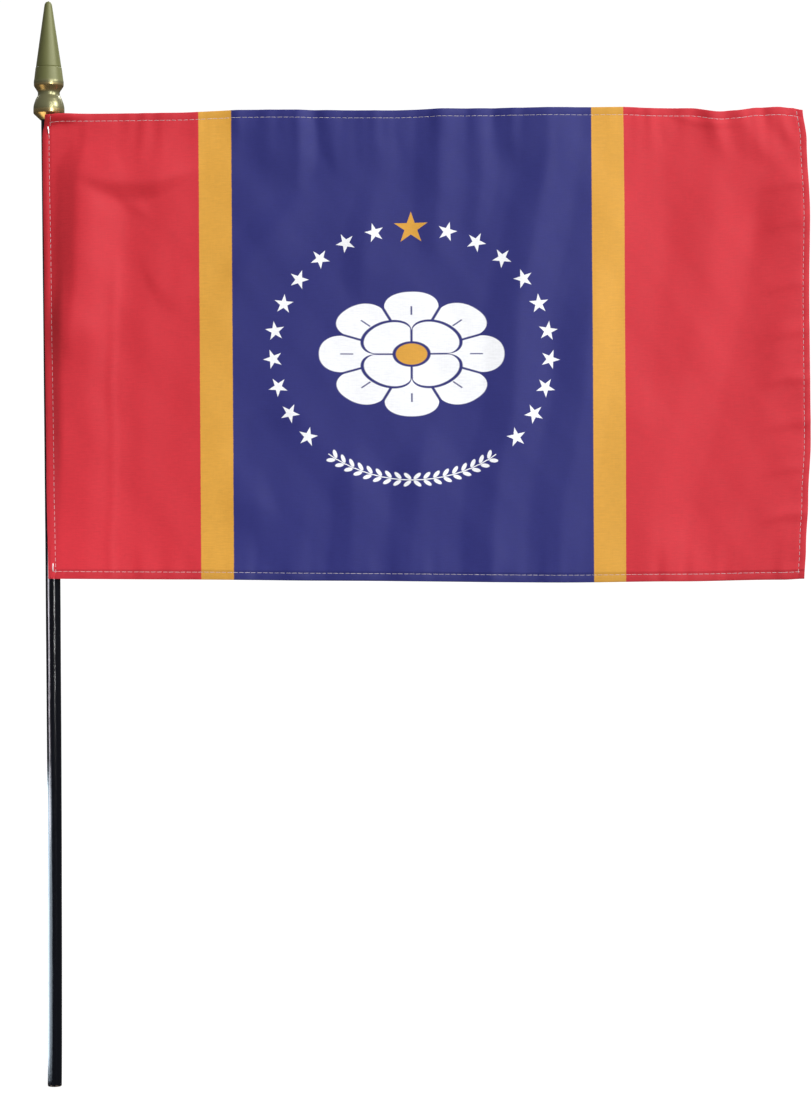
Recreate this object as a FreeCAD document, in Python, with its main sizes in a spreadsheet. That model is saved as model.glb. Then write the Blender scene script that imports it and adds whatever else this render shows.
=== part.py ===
"""Stick flag: a round lacquered staff with a spear finial, and a hemmed cloth flag stapled to its front.

Millimetres. The origin is the centre of the staff's bottom end, +Z runs up the staff,
+X runs from the hoist to the fly edge of the flag, and the flag's front faces -Y.
The cloth is one piece on the real object. It is divided here at the upright line where it
swings: hoist_hem is stapled to the staff, and flag_cloth turns about that line.
"""
import FreeCAD, Part
import math
import os

import Sketcher

SIZES = {
    # staff
    "staff_length": 609.6,
    "staff_radius": 4.42,
    "foot_radius": 4.2,
    "foot_length": 60.0,
    "taper_end": 285.0,
    "end_chamfer": 0.5,
    # finial, with heights measured up from its lower end
    "socket_depth": 32.7,
    "socket_clearance": 0.05,
    "mouth_wall": 0.65,
    "neck_wall": 2.25,
    "bell_radius": 9.25,
    "bell_foot": 3.9,
    "bell_top": 7.6,
    "bell_round": 15.0,
    "neck_foot": 14.4,
    "neck_top": 16.8,
    "rim_radius": 9.1,
    "rim_foot": 20.3,
    "rim_top": 22.8,
    "collar_radius": 7.95,
    "collar_top": 32.3,
    "collar_step": 0.2,
    "dome_radius": 2.15,
    "dome_foot": 69.2,
    "finial_height": 71.1,
    # cloth
    "ply": 0.2,
    "fold_plies": 2,
    "hoist_edge": 2.8,
    "fly_edge": 454.2,
    "hoist_height": 278.0,
    "fly_drop": 3.6,
    "fly_rise": 0.9,
    "hoist_fold": 5.3,
    "fly_fold": 5.3,
    "long_fold": 6.0,
    "cloth_gap": 0.08,
    "top_overlap": 4.1,
    "lean_drop": 3.3,
    "bell_gap": 0.5,
    # swing line between the two stretches of cloth
    "swing_clearance": 0.45,
    "hoist_side_gap": 0.6,
    "fly_side_gap": 0.5,
    # seams
    "hoist_seam": 3.8,
    "fly_seam": 3.8,
    "long_seam": 4.5,
    "thread_width": 0.4,
    "thread_depth": 0.08,
    "seam_margin": 1.0,
    # staples
    "crown_length": 5.1,
    "wire_width": 0.65,
    "wire_depth": 0.5,
    "leg_bite": 3.4,
    "top_staple_drop": 10.8,
    "bottom_staple_rise": 6.9,
    "top_staple_shift": 0.3,
    "bottom_staple_shift": 0.1,
}

# Places that several sub-parts share, each a formula of the sizes above.
SHARED = {
    "socket_radius": "staff_radius + socket_clearance",
    "finial_base": "staff_length - socket_depth",
    "hem_depth": "ply * (1 + fold_plies)",
    "cloth_back": "staff_radius + cloth_gap",
    "cloth_front": "cloth_back + hem_depth",
    "cloth_top": "finial_base + top_overlap",
    "cloth_bottom": "cloth_top - hoist_height",
    "lean_foot": "finial_base - lean_drop",
    "lean_out": "bell_radius + bell_gap - cloth_back",
    "swing_x": "bell_radius + swing_clearance + hem_depth / 2",
    "strip_end": "swing_x - hoist_side_gap",
    "panel_start": "swing_x + fly_side_gap",
    "fly_bottom": "cloth_bottom - fly_drop",
    "fly_top": "cloth_top + fly_rise",
    "top_staple_z": "cloth_top - top_staple_drop",
    "bottom_staple_z": "cloth_bottom + bottom_staple_rise",
    "leg_tip": "staff_radius - leg_bite",
    "hoist_seam_x": "hoist_seam - hoist_edge",
    "fly_seam_x": "fly_edge - fly_seam",
}

BODIES = []


def fill_sheet(doc):
    """Write every driving size into the spreadsheet, one alias to a row."""
    sheet = doc.addObject("Spreadsheet::Sheet", "Sizes")
    for row, (name, value) in enumerate(SIZES.items(), start=1):
        sheet.set(f"A{row}", name)
        sheet.set(f"B{row}", str(value))
        sheet.setAlias(f"B{row}", name)
    doc.recompute()


def bound(formula):
    """The formula as a document object writes it, with each size read from the sheet."""
    words = formula.replace("(", " ( ").replace(")", " ) ").split()
    return " ".join(sheet_word(word) for word in words)


def sheet_word(word):
    """One word of a formula: a size from the sheet, a shared place written out, or itself."""
    if word in SIZES:
        return "Sizes." + word
    if word in SHARED:
        return "(" + bound(SHARED[word]) + ")"
    return word


def new_body(doc, name):
    """A PartDesign body whose label is the sub-part's name."""
    body = doc.addObject("PartDesign::Body", name)
    body.Label = name
    BODIES.append(body)
    return body


def origin_plane(body, role):
    """One of the body's own origin planes, such as XY_Plane."""
    return next(f for f in body.Origin.OriginFeatures if f.Role == role)


def new_sketch(body, name, role, offset="0"):
    """A sketch on an origin plane, moved along the plane's normal by a formula."""
    sketch = body.newObject("Sketcher::SketchObject", name)
    sketch.AttachmentSupport = (origin_plane(body, role), [""])
    sketch.MapMode = "FlatFace"
    if offset != "0":
        sketch.setExpression("AttachmentOffset.Base.z", bound(offset))
    return sketch


def arc_edge(start, end, radius):
    """An arc that turns left on its way from start to end."""
    (x0, y0), (x1, y1) = start, end
    half = math.hypot(x1 - x0, y1 - y0) / 2
    rise = math.sqrt(radius * radius - half * half)
    cx = (x0 + x1) / 2 - rise * (y1 - y0) / (2 * half)
    cy = (y0 + y1) / 2 + rise * (x1 - x0) / (2 * half)
    first = math.atan2(y0 - cy, x0 - cx)
    last = math.atan2(y1 - cy, x1 - cx)
    circle = Part.Circle(FreeCAD.Vector(cx, cy, 0), FreeCAD.Vector(0, 0, 1), radius)
    return Part.ArcOfCircle(circle, first, last)


def closed_outline(sketch, corners, arcs=None):
    """One closed outline, drawn anticlockwise, whose arcs all bulge outwards.

    A corner is a pair of formulas, and is held by two bound distances. An edge runs from its
    corner to the next one, and arcs maps an edge to the formula of its radius.
    """
    arcs = arcs or {}
    value = sketch.evalExpression
    places = [(float(value(bound(x))), float(value(bound(y)))) for x, y in corners]
    first = sketch.GeometryCount
    starts = []
    ends = []
    for i, place in enumerate(places):
        following = places[(i + 1) % len(places)]
        if i in arcs:
            radius = float(value(bound(arcs[i])))
            edge = sketch.addGeometry(arc_edge(place, following, radius))
        else:
            a = FreeCAD.Vector(*place, 0)
            b = FreeCAD.Vector(*following, 0)
            edge = sketch.addGeometry(Part.LineSegment(a, b))
        starts.append((edge, 1))
        ends.append((edge, 2))
    for i, end in enumerate(ends):
        sketch.addConstraint(Sketcher.Constraint("Coincident", *end, *starts[(i + 1) % len(starts)]))
    for i, (corner, place) in enumerate(zip(corners, places)):
        for kind, formula, size in zip(("DistanceX", "DistanceY"), corner, place):
            hold = sketch.addConstraint(Sketcher.Constraint(kind, -1, 1, *starts[i], size))
            sketch.setExpression(f"Constraints[{hold}]", bound(formula))
    for i, formula in arcs.items():
        size = float(value(bound(formula)))
        hold = sketch.addConstraint(Sketcher.Constraint("Radius", first + i, size))
        sketch.setExpression(f"Constraints[{hold}]", bound(formula))
    return sketch


def rectangle(sketch, left, right, low, high):
    """An upright rectangle between four formulas."""
    return closed_outline(sketch, [(left, low), (right, low), (right, high), (left, high)])


def pad(body, sketch, length, flip=False):
    """Pad a sketch along its normal, or against it when flipped."""
    feature = body.newObject("PartDesign::Pad", sketch.Name + "_pad")
    feature.Profile = sketch
    feature.setExpression("Length", bound(length))
    feature.Reversed = flip
    body.Tip = feature
    return feature


def pocket(body, sketch, length):
    """Cut a sketch out along its normal and check that it took material away."""
    before = volume_of(body)
    feature = body.newObject("PartDesign::Pocket", sketch.Name + "_pocket")
    feature.Profile = sketch
    feature.setExpression("Length", bound(length))
    feature.Reversed = True
    body.Tip = feature
    if volume_of(body) > before - 1e-3:
        raise RuntimeError(f"{feature.Name} cut nothing")
    return feature


def revolve(body, sketch):
    """Turn a half outline a full turn about the sketch's upright axis."""
    feature = body.newObject("PartDesign::Revolution", sketch.Name + "_turned")
    feature.Profile = sketch
    feature.ReferenceAxis = (sketch, ["V_Axis"])
    feature.Angle = 360
    body.Tip = feature
    return feature


def volume_of(body):
    """The body's volume after a recompute."""
    body.Document.recompute()
    return body.Shape.Volume


def leg_formulas(staple_z):
    """The lower and upper face of each leg of a staple centred at a height."""
    low = f"{staple_z} - crown_length / 2"
    high = f"{staple_z} + crown_length / 2"
    return [(low, low + " + wire_depth"), (high + " - wire_depth", high)]


def staples():
    """Each staple's name, the formula of its height and the formula of its sideways place."""
    return [
        ("top_staple", "top_staple_z", "0 - top_staple_shift"),
        ("bottom_staple", "bottom_staple_z", "bottom_staple_shift"),
    ]


def cut_leg_slots(body, offset, length):
    """Cut the slots that the four staple legs stand in, from a plane facing the flag's front."""
    for name, height, place in staples():
        sketch = new_sketch(body, f"{body.Name}_{name}_slots", "XZ_Plane", offset)
        for low, high in leg_formulas(height):
            rectangle(sketch, f"{place} - wire_width / 2", f"{place} + wire_width / 2", low, high)
        pocket(body, sketch, length)


def make_staff(doc):
    """A turned dowel, a little slimmer at the foot, with a slot for each staple leg."""
    body = new_body(doc, "staff_dowel")
    sketch = new_sketch(body, "staff_outline", "XZ_Plane")
    closed_outline(sketch, [
        ("0", "0"),
        ("foot_radius - end_chamfer", "0"),
        ("foot_radius", "end_chamfer"),
        ("foot_radius", "foot_length"),
        ("staff_radius", "taper_end"),
        ("staff_radius", "staff_length - end_chamfer"),
        ("staff_radius - end_chamfer", "staff_length"),
        ("0", "staff_length"),
    ])
    revolve(body, sketch)
    cut_leg_slots(body, "leg_tip", "staff_radius")


def make_finial(doc):
    """A turned spear with a flared bell, a neck, a rim and a stepped collar, over a blind socket."""
    body = new_body(doc, "spear_finial")
    sketch = new_sketch(body, "finial_outline", "XZ_Plane")
    outline = [
        ("0", "socket_depth"),
        ("socket_radius", "socket_depth"),
        ("socket_radius", "0"),
        ("socket_radius + mouth_wall", "0"),
        ("bell_radius", "bell_foot"),
        ("bell_radius", "bell_top"),
        ("socket_radius + neck_wall", "neck_foot"),
        ("socket_radius + neck_wall", "neck_top"),
        ("rim_radius", "rim_foot"),
        ("rim_radius", "rim_top"),
        ("collar_radius", "collar_top"),
        ("collar_radius - collar_step", "collar_top"),
        ("dome_radius", "dome_foot"),
        ("0", "finial_height"),
    ]
    shoulder = outline.index(("bell_radius", "bell_top"))
    dome = outline.index(("dome_radius", "dome_foot"))
    dome_rise = "(finial_height - dome_foot)"
    arcs = {
        shoulder: "bell_round",
        dome: f"(dome_radius * dome_radius + {dome_rise} * {dome_rise}) / (2 * {dome_rise})",
    }
    closed_outline(sketch, [(x, f"finial_base + {z}") for x, z in outline], arcs)
    revolve(body, sketch)


def lean_path(out):
    """Corners up the standing cloth at a distance in front of its back, and out over the bell."""
    base = f"0 - cloth_back - {out}"
    return [(base, "cloth_bottom"), (base, "lean_foot"), (f"{base} - lean_out", "cloth_top")]


def lean_layer(sketch, near, far):
    """The section of a layer of the strip between two distances in front of the cloth's back."""
    return closed_outline(sketch, lean_path(far) + lean_path(near)[::-1])


def make_hoist_hem(doc):
    """The strip of cloth stapled to the staff: one ply, with folds behind it at three edges."""
    body = new_body(doc, "hoist_hem")
    folds = "(ply * fold_plies)"
    width = "strip_end + hoist_edge"

    face = new_sketch(body, "strip_face", "YZ_Plane", "0 - hoist_edge")
    lean_layer(face, folds, "hem_depth")
    pad(body, face, width)

    hoist = new_sketch(body, "strip_hoist_fold", "YZ_Plane", "0 - hoist_edge")
    lean_layer(hoist, "0", folds)
    pad(body, hoist, "hoist_fold")

    bottom = new_sketch(body, "strip_bottom_fold", "YZ_Plane", "0 - hoist_edge")
    fold_top = "cloth_bottom + long_fold"
    rectangle(bottom, f"0 - cloth_back - {folds}", "0 - cloth_back", "cloth_bottom", fold_top)
    pad(body, bottom, width)

    top = new_sketch(body, "strip_top_fold", "YZ_Plane", "0 - hoist_edge")
    fold_foot = "cloth_top - long_fold"
    foot_out = f"cloth_back + lean_out * ({fold_foot} - lean_foot) / (cloth_top - lean_foot)"
    top_out = "cloth_back + lean_out"
    closed_outline(top, [
        (f"0 - ({foot_out} + {folds})", fold_foot),
        (f"0 - ({foot_out})", fold_foot),
        (f"0 - ({top_out})", "cloth_top"),
        (f"0 - ({top_out} + {folds})", "cloth_top"),
    ])
    pad(body, top, width)
    cut_leg_slots(body, "cloth_back", "hem_depth")


def make_flag_cloth(doc):
    """The swinging panel: a hem's depth all over, then thinned to one ply inside its hems."""
    body = new_body(doc, "flag_cloth")
    sketch = new_sketch(body, "panel_outline", "XZ_Plane", "cloth_back")
    closed_outline(sketch, [
        ("panel_start", "cloth_bottom"),
        ("fly_edge", "fly_bottom"),
        ("fly_edge", "fly_top"),
        ("panel_start", "cloth_top"),
    ])
    pad(body, sketch, "hem_depth")
    inner = new_sketch(body, "panel_field", "XZ_Plane", "cloth_back")
    closed_outline(inner, [
        ("panel_start - 1", "cloth_bottom + long_fold"),
        ("fly_edge - fly_fold", "fly_bottom + long_fold"),
        ("fly_edge - fly_fold", "fly_top - long_fold"),
        ("panel_start - 1", "cloth_top - long_fold"),
    ])
    pocket(body, inner, "ply * fold_plies")


def make_hoist_threads(doc):
    """The two threads of the hoist seam, one on each face of the strip."""
    ends = {"hoist_needle_thread": ("hem_depth", "(hem_depth + thread_depth)"),
            "hoist_bobbin_thread": ("(0 - thread_depth)", "0")}
    for name, (near, far) in ends.items():
        body = new_body(doc, name)
        sketch = new_sketch(body, name + "_line", "YZ_Plane", "hoist_seam_x - thread_width / 2")
        lean_layer(sketch, near, far)
        pad(body, sketch, "thread_width")


def make_panel_threads(doc):
    """The two threads of each seam round the swinging panel, as flat ribbons on its faces."""
    half = "thread_width / 2"
    start = "panel_start + seam_margin"
    stop = "fly_edge - seam_margin"
    bottom = ("cloth_bottom + long_seam", "fly_bottom + long_seam")
    top = ("cloth_top - long_seam", "fly_top - long_seam")
    runs = {
        "bottom_hem": [(start, f"{bottom[0]} - {half}"), (stop, f"{bottom[1]} - {half}"),
                       (stop, f"{bottom[1]} + {half}"), (start, f"{bottom[0]} + {half}")],
        "top_hem": [(start, f"{top[0]} - {half}"), (stop, f"{top[1]} - {half}"),
                    (stop, f"{top[1]} + {half}"), (start, f"{top[0]} + {half}")],
        "fly_hem": [(f"fly_seam_x - {half}", f"{bottom[1]} + thread_width"),
                    (f"fly_seam_x + {half}", f"{bottom[1]} + thread_width"),
                    (f"fly_seam_x + {half}", f"{top[1]} - thread_width"),
                    (f"fly_seam_x - {half}", f"{top[1]} - thread_width")],
    }
    faces = {"needle": "cloth_front", "bobbin": "cloth_back - thread_depth"}
    for run, corners in runs.items():
        for face, plane in faces.items():
            body = new_body(doc, f"{run}_{face}_thread")
            sketch = new_sketch(body, f"{run}_{face}_line", "XZ_Plane", plane)
            closed_outline(sketch, corners)
            pad(body, sketch, "thread_depth")


def make_staples(doc):
    """Two flattened wire staples, each a crown over the cloth with two legs into the staff."""
    for name, height, place in staples():
        body = new_body(doc, name)
        sketch = new_sketch(body, name + "_wire", "YZ_Plane", f"{place} - wire_width / 2")
        (low, low_inner), (high_inner, high) = leg_formulas(height)
        crown = "0 - cloth_front - wire_depth"
        tip = "0 - leg_tip"
        face = "0 - cloth_front"
        closed_outline(sketch, [
            (crown, high_inner),
            (crown, low_inner),
            (face, low),
            (tip, low),
            (tip, low_inner),
            (face, low_inner),
            (face, high_inner),
            (tip, high_inner),
            (tip, high),
            (face, high),
        ], {1: "wire_depth", 9: "wire_depth"})
        pad(body, sketch, "wire_width")


def check_and_write(doc):
    """Stop on any object that failed, then write one STEP file for each sub-part."""
    doc.recompute()
    for item in doc.Objects:
        if {"Invalid", "Error"} & set(item.State):
            raise RuntimeError(f"{item.Name} did not recompute: {item.State}")
    os.makedirs("parts", exist_ok=True)
    for body in BODIES:
        shape = body.Shape
        if shape.isNull() or not shape.isValid() or len(shape.Solids) != 1:
            raise RuntimeError(f"{body.Label} is not one valid solid")
    for body in BODIES:
        body.Shape.exportStep(f"parts/{body.Label}.step")
        box = body.Shape.BoundBox
        print(f"{body.Label:28s} {body.Shape.Volume:12.3f} mm3  x {box.XMin:.2f}..{box.XMax:.2f}"
              f"  y {box.YMin:.2f}..{box.YMax:.2f}  z {box.ZMin:.2f}..{box.ZMax:.2f}")


def main():
    """Build every sub-part from the sheet and write it."""
    doc = FreeCAD.newDocument("stick_flag")
    fill_sheet(doc)
    make_staff(doc)
    make_finial(doc)
    make_hoist_hem(doc)
    make_flag_cloth(doc)
    make_hoist_threads(doc)
    make_panel_threads(doc)
    make_staples(doc)
    check_and_write(doc)


main()
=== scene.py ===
import math

import bpy
import numpy as np
from mathutils import Matrix, Vector


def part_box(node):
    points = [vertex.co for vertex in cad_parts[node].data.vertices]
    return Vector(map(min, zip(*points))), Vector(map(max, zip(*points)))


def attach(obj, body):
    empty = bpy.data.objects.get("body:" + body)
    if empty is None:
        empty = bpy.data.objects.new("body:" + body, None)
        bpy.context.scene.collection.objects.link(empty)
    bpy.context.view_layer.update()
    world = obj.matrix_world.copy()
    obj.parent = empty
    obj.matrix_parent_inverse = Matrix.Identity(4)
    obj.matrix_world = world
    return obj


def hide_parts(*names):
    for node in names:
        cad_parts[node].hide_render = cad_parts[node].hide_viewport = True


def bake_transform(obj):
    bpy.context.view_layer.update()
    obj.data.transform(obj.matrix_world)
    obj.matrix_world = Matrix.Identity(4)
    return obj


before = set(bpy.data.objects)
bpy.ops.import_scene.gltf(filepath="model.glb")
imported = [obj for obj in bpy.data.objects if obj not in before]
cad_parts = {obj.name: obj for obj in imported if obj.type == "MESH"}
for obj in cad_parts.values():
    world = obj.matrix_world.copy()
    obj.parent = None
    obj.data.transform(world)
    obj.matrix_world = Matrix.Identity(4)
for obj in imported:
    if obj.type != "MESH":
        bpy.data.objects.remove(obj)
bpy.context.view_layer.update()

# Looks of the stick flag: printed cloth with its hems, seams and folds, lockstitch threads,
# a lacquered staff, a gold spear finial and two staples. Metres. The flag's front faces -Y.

MM = 0.001

# ---------------------------------------------------------------- places, from the frame

DOWEL_LOW, DOWEL_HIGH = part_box("staff_dowel")
FINIAL_LOW, FINIAL_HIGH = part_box("spear_finial")
HEM_LOW, HEM_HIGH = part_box("hoist_hem")
PANEL_LOW, PANEL_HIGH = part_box("flag_cloth")

STAFF_RADIUS = DOWEL_HIGH.x
HOIST_X = HEM_LOW.x
FLY_X = PANEL_HIGH.x
LENGTH = FLY_X - HOIST_X
FRONT_Y = PANEL_LOW.y
BACK_Y = PANEL_HIGH.y
HEM_DEPTH = BACK_Y - FRONT_Y
HOIST_BOTTOM, HOIST_TOP = HEM_LOW.z, HEM_HIGH.z
FLY_BOTTOM, FLY_TOP = PANEL_LOW.z, PANEL_HIGH.z
HEIGHT = (HOIST_TOP - HOIST_BOTTOM + FLY_TOP - FLY_BOTTOM) / 2
LEAN_OUT = PANEL_LOW.y - HEM_LOW.y
LEAN_FOOT = FINIAL_LOW.z - 3.3 * MM
STAPLES = ("top_staple", "bottom_staple")
STAPLE_PLACES = [sum(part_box(node), Vector()) / 2 for node in STAPLES]

# The dowel is a little bowed towards the fly, and the finial sits a little off its axis.
STAFF_BOW = 1.0 * MM
BOW_SKEW = 0.72
FINIAL_OFF_AXIS = 0.35 * MM
# The foot is slimmer up to its length, and the staff widens from there to where the taper ends.
FOOT_RADIUS = 4.2 * MM
FOOT_LENGTH = 60 * MM
TAPER_END = 285 * MM

# ---------------------------------------------------------------- cloth sizes

PLY = 0.2 * MM
# The turned hems, and how far their seams are from the edges; the hoist seam leans.
LONG_FOLD = 6.0 * MM
SIDE_FOLD = 5.3 * MM
LONG_SEAM = 4.5 * MM
SIDE_SEAM = 3.8 * MM
SEAM_LEAN = 1.3 * MM
# Stitches and their thread.
PITCH = 3.5 * MM
THREAD_WIDE = 0.23 * MM
THREAD_HIGH = 0.20 * MM
NEEDLE_SEED = 100
# The staples: how far aside of the staff's middle they sit, how far round them the cloth is held
# flat, the depth, bends and arch of their wire, and how many degrees each one leans.
STAPLE_ASIDE = 0.6 * MM
STAPLE_HOLD = 4.0 * MM
STAPLE_DEEP = 0.5 * MM
STAPLE_BEND = 0.55 * MM
STAPLE_ARCH = 0.10 * MM
STAPLE_LEANS = (-8.0, 0.0)
# The mesh's spacing away from the hems.
COLUMN_STEP = PITCH / 2
ROW_STEP = 2.0 * MM

# Stripes: where each colour ends, along the cloth from the hoist edge.
STRIPE_ENDS = [92.7 * MM, 112.2 * MM, 326.7 * MM, 346.2 * MM]
RING_PLACE = (218.8 * MM, 135.1 * MM)
RING_HALF = (82.6 * MM, 74.8 * MM)
FIRST_STAR = math.radians(15.2)
STAR_STEP = math.radians(12.9)
STARS_A_SIDE = 10
STAR_SIZE = 5.9 * MM
TOP_STAR_SIZE = 9.8 * MM
STAR_NOTCH = 0.382
ROSETTE_HALF = (55.2 * MM, 37.0 * MM)

# How far each edge strays from the CAD outline, in millimetres: (distance along it, offset).
TOP_WAVE = [
    (0, -2.0), (14, -1.2), (75, -1.0), (123, 0.4), (207, -0.7), (243, 0.1), (346, 0.3),
    (366, -0.45), (388, -0.7), (406, -3.0), (416, -2.4), (430, -0.9), (442, -0.6), (450, -1.3),
    (457, -2.6),
]
BOTTOM_WAVE = [(0, 0), (86, -0.3), (169, -0.9), (307, -1.8), (378, -1.0), (444, 0.1), (457, 0.7)]
FLY_WAVE = [
    (0, -5.2), (18, -4.3), (48, -2.7), (84, -1.0), (167, -1.3), (220, -0.6), (262, -2.3),
    (281, -4.5),
]
HOIST_WAVE = [(0, 1.4), (60, 0.7), (180, 0.1), (255, -0.4), (268, -0.3), (281, 1.8)]

# Folds in the cloth, in millimetres. Each has its crest line, how far its two sides reach
# from the crest, and how far the crest stands towards the front; a valley's is negative.
# A fold that runs up the cloth gives its line as (height, distance from the hoist) pairs,
# and its sides are the hoist's and the fly's.
UPRIGHT_FOLDS = [
    # beside the staff and along the fly edge, and the two creases left by folding for packing
    ([(120, 15), (160, 17), (205, 20.5), (235, 22), (274, 26)], 13, 24, 3.9),
    ([(50, 9.5), (110, 9), (175, 10.5)], 7, 24, 1.2),
    ([(-20, 461), (140, 463), (300, 462)], 34, 10, 2.2),
    ([(25, 7), (80, 8), (120, 9), (165, 9.5), (190, 12)], 5.5, 30, 1.2),
    ([(-60, 25), (100, 27), (200, 28), (250, 30)], 22, 20, 1.8),
    ([(-60, 39.0), (0, 39.6), (100, 41.2), (205, 42.6)], 5, 2.4, 0.35),
    ([(-60, 36.5), (180, 38.2)], 3, 1.6, -0.12),
    ([(40, 58), (190, 62)], 16, 14, 0.7),
    # puckers under the top hem, hoist to fly
    ([(244, 58), (300, 60)], 4, 6, 0.45),
    ([(248, 72), (300, 71)], 4, 6, 0.4),
    ([(228, 151.5), (300, 152)], 26, 9.5, 1.8),
    ([(232, 151.5), (300, 151.5)], 8, 8, 0.5),
    ([(238, 176), (262, 171), (300, 168)], 7, 14, 1.0),
    ([(236, 203), (262, 199), (300, 197)], 14, 12, 1.3),
    ([(258, 118), (300, 114)], 8, 9, 0.6),
    ([(252, 214), (300, 212)], 4, 7, 0.5),
    ([(185, 233), (235, 235), (262, 237), (310, 238)], 13, 14, 1.8),
    ([(155, 189), (200, 193), (242, 196)], 12, 24, 1.5),
    ([(200, 256), (255, 262), (300, 263)], 12, 9, 1.1),
    ([(240, 283), (262, 281), (300, 281)], 12, 16, 1.4),
    # long slanting folds down the middle
    ([(-40, 262), (60, 270), (100, 279), (160, 283), (235, 298), (310, 310)], 17, 17, 2.6),
    ([(-40, 297), (0, 303), (60, 312), (120, 322), (195, 331)], 16, 14, 1.6),
    ([(-40, 215), (20, 219), (60, 224), (98, 229)], 15, 22, 2.0),
    ([(-40, 178), (40, 182), (85, 187)], 11, 20, 1.6),
    ([(-30, 146), (30, 152), (68, 160)], 20, 14, 1.0),
    ([(160, 106), (190, 125), (215, 143), (245, 163)], 16, 26, 1.2),
    # two broad valleys towards the fly, and the slack corner above them
    ([(90, 361), (150, 366), (200, 371), (310, 372)], 26, 26, -1.8),
    ([(10, 382), (60, 391), (90, 400), (130, 410), (180, 420), (245, 430)], 22, 24, -2.0),
    ([(255, 374), (300, 369)], 5, 6, 0.5),
    ([(245, 414), (270, 402), (300, 393)], 8, 8, 0.6),
    ([(236, 443), (265, 424), (300, 410)], 12, 12, 1.1),
    ([(248, 455), (268, 443), (300, 432)], 7, 6, 0.5),
]
# A fold that runs along the cloth gives (distance, height) pairs; its sides are below and above.
LEVEL_FOLDS = [
    ([(16, 246), (34, 241), (48, 239.5), (68, 240), (98, 246)], 9, 26, 3.0),
    ([(40, 236), (50, 229), (68, 217)], 5, 8, 0.5),
    ([(54, 199), (64, 180), (76, 170), (94, 174)], 10, 22, 0.7),
    ([(100, 48), (120, 48), (140, 41)], 16, 20, 1.3),
    ([(100, -2), (135, -4)], 5, 22, 1.5),
    ([(100, 78), (130, 86), (156, 93)], 22, 14, -1.0),
    ([(368, 277), (384, 274), (392, 272.2), (406, 273.5), (424, 272)], 2.2, 3, 0.5),
    ([(335, -6), (370, -2), (410, -6)], 5, 30, 1.2),
]
# Little wrinkles in from the fly hem, at these heights.
FLY_WRINKLES = [237, 214, 178, 150, 122, 95, 68, 40]
LEVEL_FOLDS += [([(424, t - 8), (444, t - 2), (466, t)], 4, 6, 0.5) for t in FLY_WRINKLES]
# How softly a fold's crest and feet turn, and the most of its length that an end fades over.
CREST_ROUNDING = 0.16
FOOT_ROUNDING = 0.02
LONGEST_TAPER = 34.0

# ---------------------------------------------------------------- small helpers


def smooth(share):
    """0 below 0, 1 above 1, and an easy slope between."""
    share = np.clip(share, 0, 1)
    return share * share * (3 - 2 * share)


def bell_curve(distance, width):
    """1 at no distance, falling away smoothly over a width."""
    return np.exp(-((distance / width) ** 2) / 2)


def through(points, at):
    """A smooth curve through a few (place, value) points, all in millimetres."""
    places, values = np.array(points, float).T * MM
    step = np.interp(at, places, np.arange(len(places)))
    low = np.clip(step.astype(int), 0, len(places) - 2)
    share = smooth(step - low)
    return values[low] * (1 - share) + values[low + 1] * share


def new_piece(name, points, faces, material):
    """A mesh object of these corners and faces, with one material."""
    mesh = bpy.data.meshes.new(name)
    mesh.from_pydata([tuple(p) for p in points], [], faces)
    mesh.update()
    piece = bpy.data.objects.new(name, mesh)
    bpy.context.scene.collection.objects.link(piece)
    mesh.materials.append(material)
    mesh.shade_smooth()
    return piece


def set_uv(piece, name, values):
    """A UV map that gives every corner of the mesh its vertex's pair of values."""
    mesh = piece.data
    layer = mesh.uv_layers.new(name=name)
    corners = np.zeros(len(mesh.loops), np.int32)
    mesh.loops.foreach_get("vertex_index", corners)
    layer.data.foreach_set("uv", np.asarray(values, np.float32)[corners].ravel())


# ---------------------------------------------------------------- numbers in materials


class Number:
    """A number inside a material's nodes, which takes part in ordinary arithmetic."""

    def __init__(self, tree, socket):
        self.tree = tree
        self.socket = socket

    def math(self, operation, *others, clamp=False):
        node = self.tree.nodes.new("ShaderNodeMath")
        node.operation = operation
        node.use_clamp = clamp
        for place, value in enumerate((self, *others)):
            if isinstance(value, Number):
                self.tree.links.new(value.socket, node.inputs[place])
            else:
                node.inputs[place].default_value = value
        return Number(self.tree, node.outputs[0])

    def __add__(self, other):
        return self.math("ADD", other)

    def __sub__(self, other):
        return self.math("SUBTRACT", other)

    def __mul__(self, other):
        return self.math("MULTIPLY", other)

    def __truediv__(self, other):
        return self.math("DIVIDE", other)

    def __abs__(self):
        return self.math("ABSOLUTE")

    def least(self, other):
        return self.math("MINIMUM", other)

    def most(self, other):
        return self.math("MAXIMUM", other)

    def inside(self, softness):
        """1 where this distance is below nought and 0 above, over a soft edge."""
        return (self / -softness).math("ADD", 0.5, clamp=True)


def add_node(tree, node_type, **settings):
    """A new node with its settings made."""
    node = tree.nodes.new(node_type)
    for name, value in settings.items():
        setattr(node, name, value)
    return node


def coordinates(tree, place):
    """The three coordinates of each place, as numbers."""
    split = add_node(tree, "ShaderNodeSeparateXYZ")
    tree.links.new(place, split.inputs[0])
    return [Number(tree, socket) for socket in split.outputs]


def length_of(x, y):
    """How far a place is from the origin of its two distances."""
    return (x * x + y * y).math("SQRT")


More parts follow.
